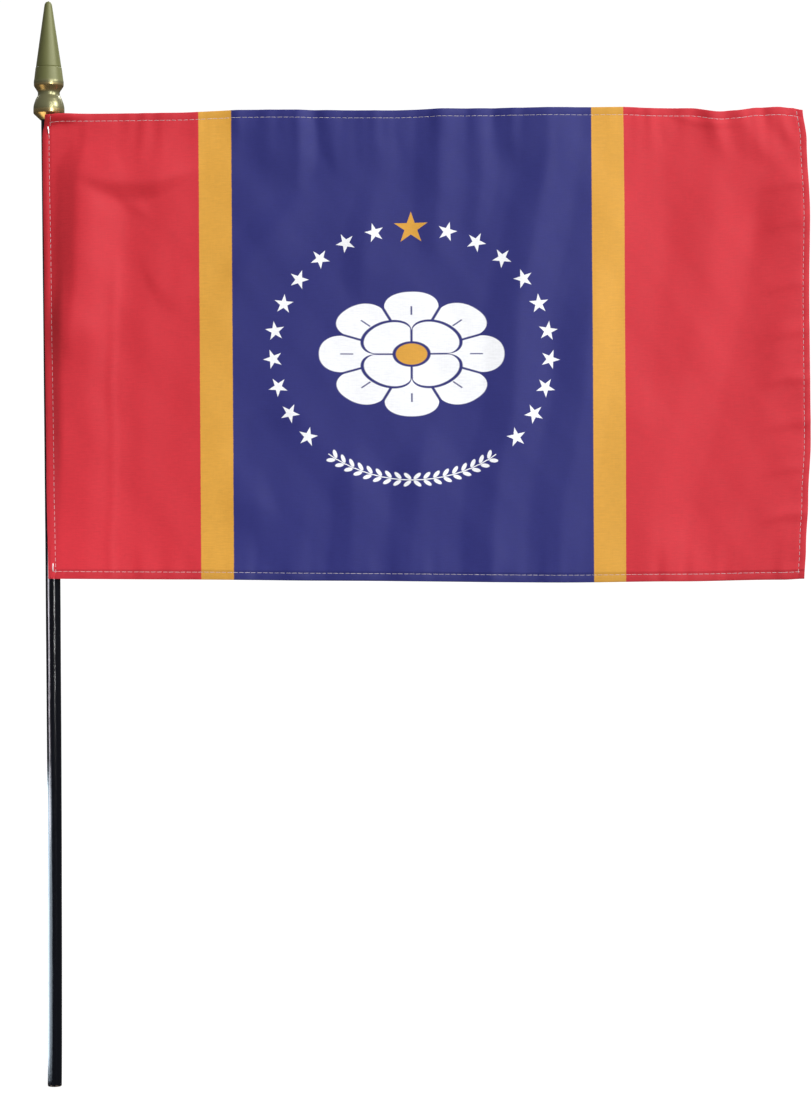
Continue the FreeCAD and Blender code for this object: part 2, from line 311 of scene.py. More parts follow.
def noise(tree, place, scale, detail=2.0, roughness=0.5):
    """Noise from 0 to 1, stretched by a scale for each axis, in patches to the metre."""
    stretch = add_node(tree, "ShaderNodeVectorMath", operation="MULTIPLY")
    tree.links.new(place, stretch.inputs[0])
    stretch.inputs[1].default_value = scale
    cloud = add_node(tree, "ShaderNodeTexNoise")
    cloud.inputs["Scale"].default_value = 1.0
    cloud.inputs["Detail"].default_value = detail
    cloud.inputs["Roughness"].default_value = roughness
    tree.links.new(stretch.outputs[0], cloud.inputs["Vector"])
    return Number(tree, cloud.outputs["Fac"])


def mix(tree, share, first, second):
    """One colour turning into another as share goes from 0 to 1."""
    node = add_node(tree, "ShaderNodeMix", data_type="RGBA", clamp_factor=True)
    tree.links.new(share.socket, node.inputs["Factor"])
    for socket, colour in ((node.inputs[6], first), (node.inputs[7], second)):
        if isinstance(colour, tuple):
            socket.default_value = (*colour, 1.0)
        else:
            tree.links.new(colour, socket)
    return node.outputs[2]


def shade(tree, colour, amount):
    """A colour made lighter or darker by an amount around 1."""
    node = add_node(tree, "ShaderNodeVectorMath", operation="SCALE")
    tree.links.new(colour, node.inputs[0])
    tree.links.new(amount.socket, node.inputs["Scale"])
    return node.outputs[0]


def bump(tree, height, distance, strength, before=None):
    """A bump from a height between 0 and 1, over an earlier one if there is one."""
    node = add_node(tree, "ShaderNodeBump")
    node.inputs["Distance"].default_value = distance
    node.inputs["Strength"].default_value = strength
    tree.links.new(height.socket, node.inputs["Height"])
    if before is not None:
        tree.links.new(before, node.inputs["Normal"])
    return node.outputs[0]


def new_material(name, **uniform):
    """A material and its shader, with the values that are the same all over."""
    material = bpy.data.materials.new(name)
    material.use_nodes = True
    tree = material.node_tree
    shader = tree.nodes["Principled BSDF"]
    for socket, value in uniform.items():
        shader.inputs[socket.replace("_", " ")].default_value = value
    return material, tree, shader


# ---------------------------------------------------------------- the print on the cloth

RED = (0.605, 0.029, 0.043)
GOLD = (0.70, 0.350, 0.050)
BLUE = (0.026, 0.028, 0.174)
WHITE = (0.93, 0.94, 0.97)
# Undyed thread colour that the back shows a little of.
PALE = (0.62, 0.60, 0.62)
BACK_PALENESS = 0.12
# How much deeper the colour is where the hem is two plies thick, and how much darker the bottom
# hem is painted, as shade under its edge that turns down away from the light.
HEM_DENSITY = 0.04
BOTTOM_HEM_SHADE = 0.10
# How softly the print's edges and its finer marks' edges run out.
PRINT_EDGE = 0.35 * MM
FINE_EDGE = 0.22 * MM


def star(across, out, size):
    """A five-pointed star about the origin with one point along out: 1 inside it."""
    radius = length_of(across, out)
    turn = abs(across).math("ARCTAN2", out)
    sector = 2 * math.pi / 5
    folded = abs(turn - (turn / sector).math("ROUND") * sector)
    notch = STAR_NOTCH * size
    slope_x = notch * math.sin(sector / 2)
    slope_y = size - notch * math.cos(sector / 2)
    scale = math.hypot(slope_x, slope_y)
    along = radius * folded.math("COSINE") - size
    aside = radius * folded.math("SINE")
    return (along * (slope_x / scale) + aside * (slope_y / scale)).inside(FINE_EDGE)


def ring_cell(x, y, first, step, count):
    """The nearest of the places spaced round both halves of the ring: across it, out of it."""
    turn = (abs(x) / RING_HALF[0]).math("ARCTAN2", y / RING_HALF[1])
    index = ((turn - first) / step).math("ROUND").most(0.0).least(count - 1.0)
    angle = index * step + first
    sine, cosine = angle.math("SINE"), angle.math("COSINE")
    off_x = abs(x) - sine * RING_HALF[0]
    off_y = y - cosine * RING_HALF[1]
    return off_x * cosine - off_y * sine, off_x * sine + off_y * cosine


def petals(turn, radius, count, reach, round_share, offset):
    """How far a point is outside a wheel of round-ended petals, as a share of the wheel."""
    sector = 2 * math.pi / count
    shifted = turn + offset
    folded = abs(shifted - (shifted / sector).math("ROUND") * sector) / (sector / 2)
    dip = (folded.math("POWER", 2.4) * -1.0 + 1.0).most(0.0).math("SQRT")
    edge = dip * (reach * round_share) + reach * (1 - round_share)
    gap = radius * ((folded * -1.0 + 1.0) * (sector / 2)).math("SINE")
    return radius - edge, gap


def rosette(x, y):
    """A plain face-on flower of two wheels of petals: its white, and its gold centre."""
    wide = x / ROSETTE_HALF[0]
    tall = y / ROSETTE_HALF[1]
    radius = length_of(wide, tall)
    turn = wide.math("ARCTAN2", tall)
    outer, outer_gap = petals(turn, radius, 8, 1.0, 0.30, 0.0)
    inner, inner_gap = petals(turn, radius, 4, 0.58, 0.42, math.pi / 4)
    line, soft, heart = 0.026, 0.012, 0.17
    outer_white = outer.inside(soft) * (outer_gap * -1.0 + line * 0.62).inside(soft)
    outer_white = outer_white * (inner * -1.0 + line * 1.5).inside(soft)
    inner_white = inner.inside(soft) * (inner_gap * -1.0 + line * 0.5).inside(soft)
    centre = (radius - heart).inside(soft)
    clear = (radius * -1.0 + heart + line * 1.4).inside(soft)
    eighth = math.pi / 4
    to_middle = abs(turn - (turn / eighth).math("ROUND") * eighth) * radius
    vein = (to_middle - 0.009).inside(soft) * (abs(radius - 0.70) - 0.07).inside(soft)
    outer_white = outer_white * (vein * -1.0 + 1.0)
    return outer_white.most(inner_white * clear), centre


def leaf_row(x, y):
    """A plain sprig of paired leaves along the foot of the ring: 1 on its leaves."""
    step = math.radians(4.1)
    count = 9
    first = math.pi - (count - 0.5) * step
    across, out = ring_cell(x, y, first, step, count)
    aside = abs(out) - 2.2 * MM
    tilt = math.radians(38)
    along = across * math.cos(tilt) - aside * math.sin(tilt)
    beside = across * math.sin(tilt) + aside * math.cos(tilt)
    leaf = length_of(along / (2.6 * MM), beside / (1.15 * MM)) - 1.0
    stem = abs(out) - 0.28 * MM
    in_row = abs(across) - step * RING_HALF[0] * 0.56
    return leaf.inside(0.25).most(stem.inside(FINE_EDGE) * in_row.inside(FINE_EDGE))


def stripe(place, low, high):
    """1 between two places across the stripes."""
    return (abs(place - (low + high) / 2) - (high - low) / 2).inside(PRINT_EDGE)


def print_colour(tree, u, v, wander):
    """The printed design at a place on the flat cloth."""
    red_gold, gold_blue, blue_gold, gold_red = STRIPE_ENDS
    strayed = u + (wander - 0.5) * (0.5 * MM)
    on_gold = stripe(strayed, red_gold, gold_red)
    on_blue = stripe(strayed, gold_blue, blue_gold)
    x, y = u - RING_PLACE[0], v - RING_PLACE[1]
    across, out = ring_cell(x, y, FIRST_STAR, STAR_STEP, STARS_A_SIDE)
    white = star(across, out, STAR_SIZE).most(leaf_row(x, y))
    petal_white, centre = rosette(x, y)
    gold_mark = star(x / 1.07, y - RING_HALF[1], TOP_STAR_SIZE).most(centre)
    colour = mix(tree, on_gold, RED, GOLD)
    colour = mix(tree, on_blue, colour, BLUE)
    colour = mix(tree, white.most(petal_white), colour, WHITE)
    return mix(tree, gold_mark, colour, GOLD)


def cloth_material(name, paleness):
    """Thin woven polyester with the print dyed in; the back is a little paler."""
    material, tree, shader = new_material(
        name, Sheen_Weight=0.02, Sheen_Roughness=0.4, Specular_IOR_Level=0.22
    )
    cloth = add_node(tree, "ShaderNodeUVMap", uv_map="cloth")
    place = cloth.outputs[0]
    u, v, _ = coordinates(tree, place)

    colour = print_colour(tree, u, v, noise(tree, place, (300, 900, 1)))
    if paleness:
        pale = add_node(tree, "ShaderNodeMix", data_type="RGBA")
        pale.inputs["Factor"].default_value = paleness
        tree.links.new(colour, pale.inputs[6])
        pale.inputs[7].default_value = (*PALE, 1.0)
        colour = pale.outputs[2]
    weft_streak = noise(tree, place, (110, 2400, 1), 3.0, 0.6)
    warp_streak = noise(tree, place, (2400, 90, 1), 2.0)
    mottle = noise(tree, place, (160, 160, 1), 4.0, 0.6)
    cloud = noise(tree, place, (22, 22, 1), 2.0)
    slight = noise(tree, place, (330, 1000, 1), 2.0)
    tone = (weft_streak - 0.5) * 0.26 + (warp_streak - 0.5) * 0.10 + (slight - 0.5) * 0.14
    tone = tone + (mottle - 0.5) * 0.08 + (cloud - 0.5) * 0.05 + 1.01
    past_side = (u * -1.0 + SIDE_FOLD).most(u - (LENGTH - SIDE_FOLD))
    past_long = (v * -1.0 + LONG_FOLD).most(v - (HEIGHT - LONG_FOLD))
    doubled = (past_side.most(past_long) * -1.0).inside(FINE_EDGE)
    # painted shade: the bottom hem is darkened where its lower edge turns down away from the light
    bottom_hem_shaded = (v - LONG_FOLD).inside(FINE_EDGE)
    tone = tone - doubled * HEM_DENSITY - bottom_hem_shaded * BOTTOM_HEM_SHADE
    tree.links.new(shade(tree, colour, tone), shader.inputs["Base Color"])

    yarn = 0.30 * MM
    warp, weft = (u * (math.pi / yarn)).math("SINE"), (v * (math.pi / yarn)).math("SINE")
    weave = abs(warp) * 0.35 + abs(weft) * 0.35 + warp * weft * 0.15 + 0.15
    slub = noise(tree, place, (260, 2600, 1), 2.0)
    normal = bump(tree, weave, 0.05 * MM, 0.55)
    normal = bump(tree, slub + mottle * 0.6, 0.10 * MM, 0.35, normal)
    tree.links.new(normal, shader.inputs["Normal"])
    rough = (mottle - 0.5) * 0.16 + (weft_streak - 0.5) * 0.12 + 0.56
    tree.links.new(rough.socket, shader.inputs["Roughness"])
    return material


# ---------------------------------------------------------------- the cloth's shape


def tent(share):
    """1 on a fold's rounded crest, sloping evenly to 0 where its side ends, at a share of 1."""
    slope = 1 + CREST_ROUNDING - np.sqrt(share**2 + CREST_ROUNDING**2)
    return (slope + np.sqrt(slope**2 + FOOT_ROUNDING)) / 2


def folded(along, across, folds):
    """The heights of folds whose crest lines all run along one way of the cloth."""
    height = np.zeros_like(along)
    for line, before, after, crest in folds:
        places, crest_line = np.array(line, float).T * MM
        taper = min(0.4 * (places[-1] - places[0]), LONGEST_TAPER * MM)
        ends = smooth((along - places[0]) / taper) * smooth((places[-1] - along) / taper)
        aside = across - np.interp(along, places, crest_line)
        reach = np.where(aside < 0, before, after) * MM * (0.5 + 0.5 * ends)
        height += crest * MM * tent(aside / reach) * ends
    return height


def fold_height(s, t):
    """How far the folds stand towards the front, at distances along and up the cloth."""
    s, t = wandered(s, t)
    return folded(t, s, UPRIGHT_FOLDS) + folded(s, t, LEVEL_FOLDS)


def wandered(s, t):
    """Places moved a little to and fro, so that no fold runs quite straight."""
    off_s = 0.8 * np.sin(t / (17 * MM) + s / (61 * MM))
    off_s = off_s + 0.4 * np.sin(t / (7.3 * MM) - s / (29 * MM))
    off_t = 0.8 * np.sin(s / (19 * MM) + t / (43 * MM)) + 0.4 * np.sin(s / (8.1 * MM) + 1.0)
    return s + off_s * MM, t + off_t * MM


def pressed(s, t):
    """1 on free cloth, and 0 where a staple holds it flat on the staff."""
    share = np.ones_like(s)
    for place in STAPLE_PLACES:
        off_s = s + HOIST_X - place.x
        off_t = t - (place.z - HOIST_BOTTOM) / (HOIST_TOP - HOIST_BOTTOM) * HEIGHT
        share *= 1 - bell_curve(np.hypot(off_s, off_t / 1.5), STAPLE_HOLD)
    return share


def ripple(s, t, seed, count, shortest, longest, lean_range):
    """A gentle unevenness of upright waves, the same on every run."""
    random = np.random.default_rng(seed)
    total = np.zeros_like(s)
    for _ in range(count):
        wave = random.uniform(shortest, longest) * MM
        lean = random.uniform(-lean_range, lean_range)
        phase = random.uniform(0, 2 * math.pi)
        turn = 2 * math.pi / wave * (s * math.cos(lean) + t * math.sin(lean))
        total += np.sin(turn + phase) * wave
    return total / (count * longest * MM)


def edge_distances(s, t):
    """Distances from the hoist, fly, bottom and top edges."""
    return s, LENGTH - s, t, HEIGHT - t


def hoist_seam(t):
    """How far the hoist seam is from the edge, which it nears on its way up."""
    return SIDE_SEAM + SEAM_LEAN * (1 - t / HEIGHT)


def seam_height(s, t, free):
    """The sewn hems: a valley along each seam, and puckers that die out away from it."""
    hoist, fly, bottom, top = edge_distances(s, t)
    height = np.zeros_like(s)
    seams = [
        (top, s, LONG_SEAM, 0.30, 14.0, 11),
        (bottom, s, LONG_SEAM, 0.34, 12.0, 23),
        (fly, t, SIDE_SEAM, 0.20, 8.0, 37),
        (hoist, t, hoist_seam(t), 0.05, 3.0, 41),
    ]
    for off, along, seam, pucker, reach, seed in seams:
        height -= 0.16 * MM * bell_curve(off - seam, 0.55 * MM)
        holes = 0.5 + 0.5 * np.cos(2 * math.pi * along / PITCH)
        height -= 0.06 * MM * holes * bell_curve(off - seam, 0.9 * MM)
        gather = ripple(along, np.zeros_like(along), seed, 9, 7.0, 24.0, 0.0)
        fade = np.where(off < seam, 1.0, np.exp(-(off - seam) / (reach * MM)))
        height += pucker * MM * 3.4 * gather * fade * free
    return height


def bell_lean(s, t):
    """How far the cloth's top corner stands out where it lies over the finial's bell."""
    z = HOIST_BOTTOM + t / HEIGHT * (HOIST_TOP - HOIST_BOTTOM)
    rise = smooth((z - LEAN_FOOT) / (HOIST_TOP - LEAN_FOOT))
    aside = 1 - smooth((s + HOIST_X - 4 * MM) / (24 * MM))
    return LEAN_OUT * rise * aside


def hug(s):
    """How far the hoist edge lies back round the staff."""
    x = np.minimum(s + HOIST_X, 0.0)
    radius = -BACK_Y
    return 0.75 * (radius - np.sqrt(radius**2 - x**2))


def front_points(s, t):
    """Places on the cloth's front, from distances along and up the flat cloth."""
    share = s / LENGTH
    bottom = HOIST_BOTTOM + (FLY_BOTTOM - HOIST_BOTTOM) * share + through(BOTTOM_WAVE, s)
    top = HOIST_TOP + (FLY_TOP - HOIST_TOP) * share + through(TOP_WAVE, s)
    z = bottom + (top - bottom) * t / HEIGHT
    x = HOIST_X + s + through(FLY_WAVE, t) * smooth((s - 0.7 * LENGTH) / (0.3 * LENGTH))
    x = x + through(HOIST_WAVE, t) * (1 - smooth(s / (12 * MM)))
    free = smooth((s - 1 * MM) / (10 * MM)) * pressed(s, t)
    uneven = 1.7 * MM * ripple(s, t, 5, 22, 12.0, 60.0, 0.8)
    lift = (fold_height(s, t) + uneven) * free + seam_height(s, t, free) + bell_lean(s, t) - hug(s)
    return np.stack([x, FRONT_Y - lift, z], axis=-1)


def depth(s, t):
    """The cloth's thickness: one ply, and the turned hem behind it at the edges."""
    hoist, fly, bottom, top = edge_distances(s, t)
    inner = np.maximum.reduce([
        SIDE_FOLD - hoist, SIDE_FOLD - fly, LONG_FOLD - bottom, LONG_FOLD - top,
    ])
    hem = smooth(inner / (0.35 * MM))
    edge = np.minimum.reduce([hoist, fly, bottom, top])
    round_off = np.clip(edge / (HEM_DEPTH / 2), 0, 1)
    return (PLY + (HEM_DEPTH - PLY) * hem) * np.sqrt(1 - (1 - round_off) ** 2)


def grid_lines(length, step, fold, seam):
    """Distances across the cloth, close together where a hem and its seam need them."""
    near = [0, 0.06, 0.17, 0.32, 1.8, 2.7]
    sewn = [seam / MM + offset for offset in (-0.7, -0.3, 0.0, 0.3, 0.7)]
    turned = [fold / MM + offset for offset in (-0.35, -0.2, 0.0, 0.25)]
    edge = sorted(set(near + sewn + turned))
    inner = np.arange(edge[-1] * MM + step, length - edge[-1] * MM - step / 2, step)
    first = [value * MM for value in edge]
    last = [length - value * MM for value in edge[::-1]]
    return np.array(first + list(inner) + last)


def make_cloth(front_material, back_material):
    """The whole flag: one closed sheet with a front, a back and rounded edges."""
    columns = grid_lines(LENGTH, COLUMN_STEP, SIDE_FOLD, SIDE_SEAM)
    rows = grid_lines(HEIGHT, ROW_STEP, LONG_FOLD, LONG_SEAM)
    t, s = np.meshgrid(rows, columns, indexing="ij")
    front = front_points(s, t)
    thick = depth(s, t)
    full = np.where(np.minimum.reduce(edge_distances(s, t)) < HEM_DEPTH, HEM_DEPTH, thick)
    front[..., 1] += (full - thick) / 2
    back = front.copy()
    back[..., 1] += thick

    high, wide = s.shape
    front_index = np.arange(high * wide).reshape(high, wide)
    inner = (slice(1, -1), slice(1, -1))
    back_index = front_index.copy()
    back_index[inner] = high * wide + np.arange((high - 2) * (wide - 2)).reshape(high - 2, wide - 2)
    points = np.concatenate([front.reshape(-1, 3), back[inner].reshape(-1, 3)])
    flat = np.concatenate([
        np.stack([s, t], -1).reshape(-1, 2), np.stack([s[inner], t[inner]], -1).reshape(-1, 2),
    ])

    def quads(index, flip):
        a, b, c, d = index[:-1, :-1], index[:-1, 1:], index[1:, 1:], index[1:, :-1]
        order = (a, d, c, b) if flip else (a, b, c, d)
        return np.stack(order, -1).reshape(-1, 4)

    faces = np.concatenate([quads(front_index, False), quads(back_index, True)])
    piece = new_piece("flag_sheet", points, faces.tolist(), front_material)
    piece.data.materials.append(back_material)
    count = (high - 1) * (wide - 1)
    slots = np.repeat([0, 1], count).astype(np.int32)
    piece.data.polygons.foreach_set("material_index", slots)
    set_uv(piece, "cloth", flat)
    return piece


# ---------------------------------------------------------------- threads


def tube(name, path, across, out, half_wide, half_high, sides, material):
    """A closed tube along a path, with an oval section set by two directions at each point."""
    count = len(path)
    turns = np.arange(sides) * 2 * math.pi / sides
    rings = (
        path[:, None, :]
        + across[:, None, :] * (half_wide * np.cos(turns))[None, :, None]
        + out[:, None, :] * (half_high * np.sin(turns))[None, :, None]
    )
    points = np.concatenate([rings.reshape(-1, 3), path[:1], path[-1:]])
    faces = []
    for ring in range(count - 1):
        for side in range(sides):
            a, b = ring * sides + side, ring * sides + (side + 1) % sides
            faces.append((a, b, b + sides, a + sides))
    first, last = count * sides, count * sides + 1
    for side in range(sides):
        following = (side + 1) % sides
        faces.append((first, following, side))
        faces.append((last, (count - 1) * sides + side, (count - 1) * sides + following))
    piece = new_piece(name, points, faces, material)
    run = np.concatenate([[0], np.cumsum(np.linalg.norm(np.diff(path, axis=0), axis=1))])
    uv = np.stack([np.repeat(run, sides), np.tile(turns / (2 * math.pi), count)], -1)
    set_uv(piece, "twist", np.concatenate([uv, [[0, 0]], [[run[-1], 0]]]))
    return piece


def stitch_row(name, seam, start, end, side, seed, dip, material):
    """Lockstitches along a seam: the thread stands out between holes and dives at each hole."""
    random = np.random.default_rng(seed)
    count = int((end - start) / PITCH)
    phases = np.array([0.0, 0.17, 0.32, 0.5, 0.68, 0.83])
    rise = np.array([-dip, 0.03 - dip / 2, 0.10, 0.13, 0.10, 0.03 - dip / 2]) * MM
    jitter = np.cumsum(random.uniform(-0.05, 0.05, count + 1)) * 0.3 * MM
    strayed = random.uniform(-0.16, 0.16, count + 1) * MM
    holes = start + (np.arange(count + 1) + 0.5) * PITCH + strayed
    along, aside, above = [], [], []
    for stitch in range(count):
        span = holes[stitch + 1] - holes[stitch]
        slant = random.uniform(-0.07, 0.07) * MM
        along += list(holes[stitch] + phases * span)
        aside += list(jitter[stitch] + slant * (phases - 0.5) * 2)
        above += list(rise * random.uniform(0.9, 1.1))
    along = np.clip(np.array(along), start, end)
    s, t = seam(along, np.array(aside))
    path = front_points(s, t)
    if side == "back":
        path[:, 1] += depth(s, t) + np.array(above)
    else:
        path[:, 1] -= np.array(above)
    ahead = np.gradient(path, axis=0)
    ahead /= np.linalg.norm(ahead, axis=1)[:, None]
    out = np.tile([0.0, -1.0, 0.0], (len(path), 1))
    across = np.cross(ahead, out)
    across /= np.linalg.norm(across, axis=1)[:, None]
    out = np.cross(across, ahead)
    return tube(name, path, across, out, THREAD_WIDE / 2, THREAD_HIGH / 2, 6, material)


def make_threads(material):
    """Needle thread on the front and bobbin thread on the back of each of the four seams."""

    def hoist(along, aside):
        return hoist_seam(along) + aside, along

    def fly(along, aside):
        return LENGTH - SIDE_SEAM + aside, along

    def top(along, aside):
        return along, HEIGHT - LONG_SEAM + aside

    def bottom(along, aside):
        return along, LONG_SEAM + aside

    margin = 1.2 * MM
    rows = [
        ("hoist", hoist, HEIGHT, 0.24), ("fly_hem", fly, HEIGHT, 0.24),
        ("top_hem", top, LENGTH, 0.12), ("bottom_hem", bottom, LENGTH, 0.12),
    ]
    for place, (row, seam, long, dip) in enumerate(rows):
        for kind, side in (("needle", "front"), ("bobbin", "back")):
            node = f"{row}_{kind}_thread"
            seed = NEEDLE_SEED + 10 * place + (side == "back")
            name, end = f"{node}_sewn", long - margin
            piece = stitch_row(name, seam, margin, end, side, seed, dip, material)
            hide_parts(node)
            if row == "hoist":
                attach(piece, "staff")
            elif row == "fly_hem":
                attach(piece, "flag")
            else:
                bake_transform(piece)


def thread_material():
    """Pale sewing thread, its strands twisted round it, with painted shade between them."""
    material, tree, shader = new_material("sewing_thread", Sheen_Weight=0.2, Specular_IOR_Level=0.3)
    twist = add_node(tree, "ShaderNodeUVMap", uv_map="twist")
    u, v, _ = coordinates(tree, twist.outputs[0])
    strand = (u * (2 * math.pi / (0.45 * MM)) + v * (4 * math.pi)).math("SINE") * 0.5 + 0.5
    fuzz = noise(tree, twist.outputs[0], (3000, 6, 1), 3.0)
    # painted shade: darker in the grooves between the strands, where the bump is low, and varied by
    # the fuzz
    colour = mix(tree, strand * 0.6 + fuzz * 0.4, (0.48, 0.42, 0.45), (0.82, 0.76, 0.79))
    tree.links.new(colour, shader.inputs["Base Color"])
    tree.links.new(bump(tree, strand, 0.06 * MM, 0.7), shader.inputs["Normal"])
    tree.links.new((fuzz * 0.2 + 0.55).socket, shader.inputs["Roughness"])
    return material


# ---------------------------------------------------------------- turned pieces


def rounded(outline):
    """The outline's (radius, height, corner rounding) points, with each corner made an arc."""
    points = []
    for place, (radius, height, rounding) in enumerate(outline):
        here = Vector((radius, height))
        if not rounding or place in (0, len(outline) - 1):
            points.append(here)
            continue
        before = (Vector(outline[place - 1][:2]) - here).normalized()
        after = (Vector(outline[place + 1][:2]) - here).normalized()
        for share in (0.0, 0.25, 0.5, 0.75, 1.0):
            start, end = here + before * rounding, here + after * rounding
            points.append(start * (1 - share) ** 2 + here * 2 * share * (1 - share) + end * share**2)
    return points


def lathe(name, outline, segments, material, wobble=None):
    """A solid turned about the Z axis from an outline that starts and ends on the axis."""
    points, faces, rings = [], [], []
    for radius, height in outline:
        if radius < 1e-7:
            rings.append([len(points)] * segments)
            points.append((0.0, 0.0, height))
            continue
        rings.append(list(range(len(points), len(points) + segments)))
        for segment in range(segments):
            turn = 2 * math.pi * segment / segments
            reach = radius + (wobble(turn, height) if wobble else 0.0)
            points.append((reach * math.cos(turn), reach * math.sin(turn), height))
    for low, high in zip(rings[:-1], rings[1:]):
        for segment in range(segments):
            following = (segment + 1) % segments
            face = [low[segment], low[following], high[following], high[segment]]
            faces.append(tuple(dict.fromkeys(face)))
    return new_piece(name, points, faces, material)


def make_finial(material):
    """The spear: bell, neck, rim, stepped collar and a straight spear to a small dome."""
    base, tip = FINIAL_LOW.z, FINIAL_HIGH.z
    scale = FINIAL_HIGH.x / 9.25
    mouth = STAFF_RADIUS / scale + 0.05
    # (radius, height, corner rounding), in millimetres at full size, from the socket up
    outline = [
        (mouth, 1.0, 0), (mouth, 0.0, 0.15), (mouth + 0.65, 0.0, 0.2), (9.25, 3.9, 0.5),
        (9.25, 7.6, 0.9), (8.75, 9.9, 0.8), (7.75, 12.6, 0.7), (6.60, 14.6, 0.5), (6.45, 16.6, 0.6),
        (8.85, 20.3, 0.4), (8.90, 22.6, 0.3), (8.60, 24.6, 0.5), (7.78, 31.2, 0.15),
        (7.36, 31.45, 0.1), (7.56, 31.8, 0.1), (2.2, 69.2, 0.7), (1.5, 70.5, 0.5), (0.0, 71.1, 0),
    ]
    scaled = [(r * scale, base + h * scale, c * scale) for r, h, c in outline]
    scaled[-1] = (0.0, tip, 0.0)
    turned = [(0.0, scaled[0][1])] + [tuple(p) for p in rounded(scaled)]
    piece = lathe("spear_turned", turned, 96, material)
    piece.data.transform(Matrix.Translation((FINIAL_OFF_AXIS, 0.0, 0.0)))
    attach(piece, "staff")
    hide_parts("spear_finial")


def staff_bow(z):
    """How far the dowel's middle line lies towards the fly at a height."""
    share = min(1.0, max(0.0, (z - DOWEL_LOW.z) / (DOWEL_HIGH.z - DOWEL_LOW.z)))
    return STAFF_BOW * math.sin(math.pi * share**BOW_SKEW)


def make_staff(material):
    """The dowel, a little uneven under its lacquer, with a worn foot."""
    low, high = DOWEL_LOW.z, DOWEL_HIGH.z
    taper = (low + FOOT_LENGTH, low + TAPER_END)

    def wobble(turn, z):
        slow = math.sin(z / (23 * MM) + turn) + math.sin(z / (11 * MM) - 2 * turn + 1)
        fine = math.sin(z / (3.7 * MM) + 3 * turn) * 0.4
        chipped = max(0.0, 1 - (z - low) / (1.2 * MM)) * math.sin(5 * turn + 1) * 2.0
        return (0.012 * slow + 0.010 * fine + 0.02 * chipped) * MM

    outline = [(0.0, low)]
    for inset, rise in ((0.75, 0.0), (0.32, 0.1), (0.08, 0.4)):
        outline.append((FOOT_RADIUS - inset * MM, low + rise * MM))
    for z in np.arange(low + 0.9 * MM, high - 1.0 * MM, 3.0 * MM):
        outline.append((float(np.interp(z, taper, (FOOT_RADIUS, STAFF_RADIUS))), z))
    outline += [(STAFF_RADIUS, high - 0.6 * MM), (STAFF_RADIUS - 0.5 * MM, high), (0.0, high)]
    piece = lathe("staff_lacquered", outline, 48, material, wobble)
    for vertex in piece.data.vertices:
        vertex.co.x += staff_bow(vertex.co.z)
    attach(piece, "staff")
    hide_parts("staff_dowel")


def make_staple(node, tilt, material):
    """A flattened wire staple: a slightly arched crown, two bends and two legs in the staff."""
    low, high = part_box(node)
    middle = (low + high) / 2
    wire_wide = high.x - low.x
    half = (high.z - low.z - STAPLE_DEEP) / 2
    crown_y, leg_y = low.y + STAPLE_DEEP / 2, high.y
    path = []
    for end in (-1, 1):
        side = [(leg_y, end * half)]
        for turn in np.linspace(0, math.pi / 2, 6):
            y = crown_y + STAPLE_BEND - STAPLE_BEND * math.sin(turn)
            z = end * (half - STAPLE_BEND + STAPLE_BEND * math.cos(turn))
            side.append((y, z))
        path += side if end < 0 else side[::-1]
        if end < 0:
            for share in np.linspace(-0.7, 0.7, 7):
                arch = STAPLE_ARCH * (1 - share**2)
                path.append((crown_y - arch, share * (half - STAPLE_BEND)))
    run = np.array([(0.0, y, z) for y, z in path])
    run[:, 0] += run[:, 2] * math.tan(tilt)
    run += np.array([middle.x + staff_bow(middle.z) + STAPLE_ASIDE, 0.0, middle.z])
    ahead = np.gradient(run, axis=0)
    ahead /= np.linalg.norm(ahead, axis=1)[:, None]
    across = np.tile([1.0, 0.0, 0.0], (len(run), 1))
    out = np.cross(across, ahead)
    piece = tube(f"{node}_wire", run, across, out, wire_wide / 2, STAPLE_DEEP / 2, 12, material)
    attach(piece, "staff")
    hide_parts(node)


# ---------------------------------------------------------------- hard materials

# Colours that a noise runs between: (darker, lighter).
LACQUER = ((0.002, 0.0022, 0.0038), (0.0035, 0.004, 0.0068))
BARE_WOOD = (0.16, 0.12, 0.085)
OLIVE = ((0.130, 0.137, 0.046), (0.178, 0.182, 0.066))
TURNED_METAL = ((0.20, 0.195, 0.095), (0.265, 0.25, 0.13))
# A brighter gold painted under the finial's rim and bell as a glint.
PAINTED_GLINT_GOLD = (0.58, 0.43, 0.19)
STEEL = ((0.80, 0.78, 0.79), (0.95, 0.94, 0.95))
# Heights above the finial's base: where the spear's dull finish ends, and the middle and half
# height of the bands of painted glint on the undersides of the rim and the bell.
DULL_END = 23.2 * MM
RIM_GLINT_BAND = (19.2 * MM, 1.9 * MM)
BELL_GLINT_BAND = (3.4 * MM, 2.6 * MM)
FINISH_EDGE = 1.5 * MM
GLINT_BAND_EDGE = 1.6 * MM


def object_place(tree):
    """Places in the row frame, which every piece's own coordinates are in."""
    return add_node(tree, "ShaderNodeTexCoord").outputs["Object"]


def lacquer_material():
    """Glossy black lacquer over the dowel's grain, chipped to the wood at the foot's edge."""
    material, tree, shader = new_material("black_lacquer", Specular_IOR_Level=0.5)
    place = object_place(tree)
    grain = noise(tree, place, (1500, 1500, 24), 3.0, 0.6)
    specks = noise(tree, place, (900, 900, 420), 2.0)
    height = coordinates(tree, place)[2]
    chips = (height / (1.6 * MM) + specks * 2.2 - 1.55).inside(0.12)
    colour = mix(tree, grain, *LACQUER)
    colour = mix(tree, chips, colour, BARE_WOOD)
    tree.links.new(colour, shader.inputs["Base Color"])
    tree.links.new((grain * 0.10 + specks * 0.07 + 0.06).socket, shader.inputs["Roughness"])
    normal = bump(tree, grain, 0.10 * MM, 0.7)
    tree.links.new(bump(tree, specks, 0.05 * MM, 0.5, normal), shader.inputs["Normal"])
    return material


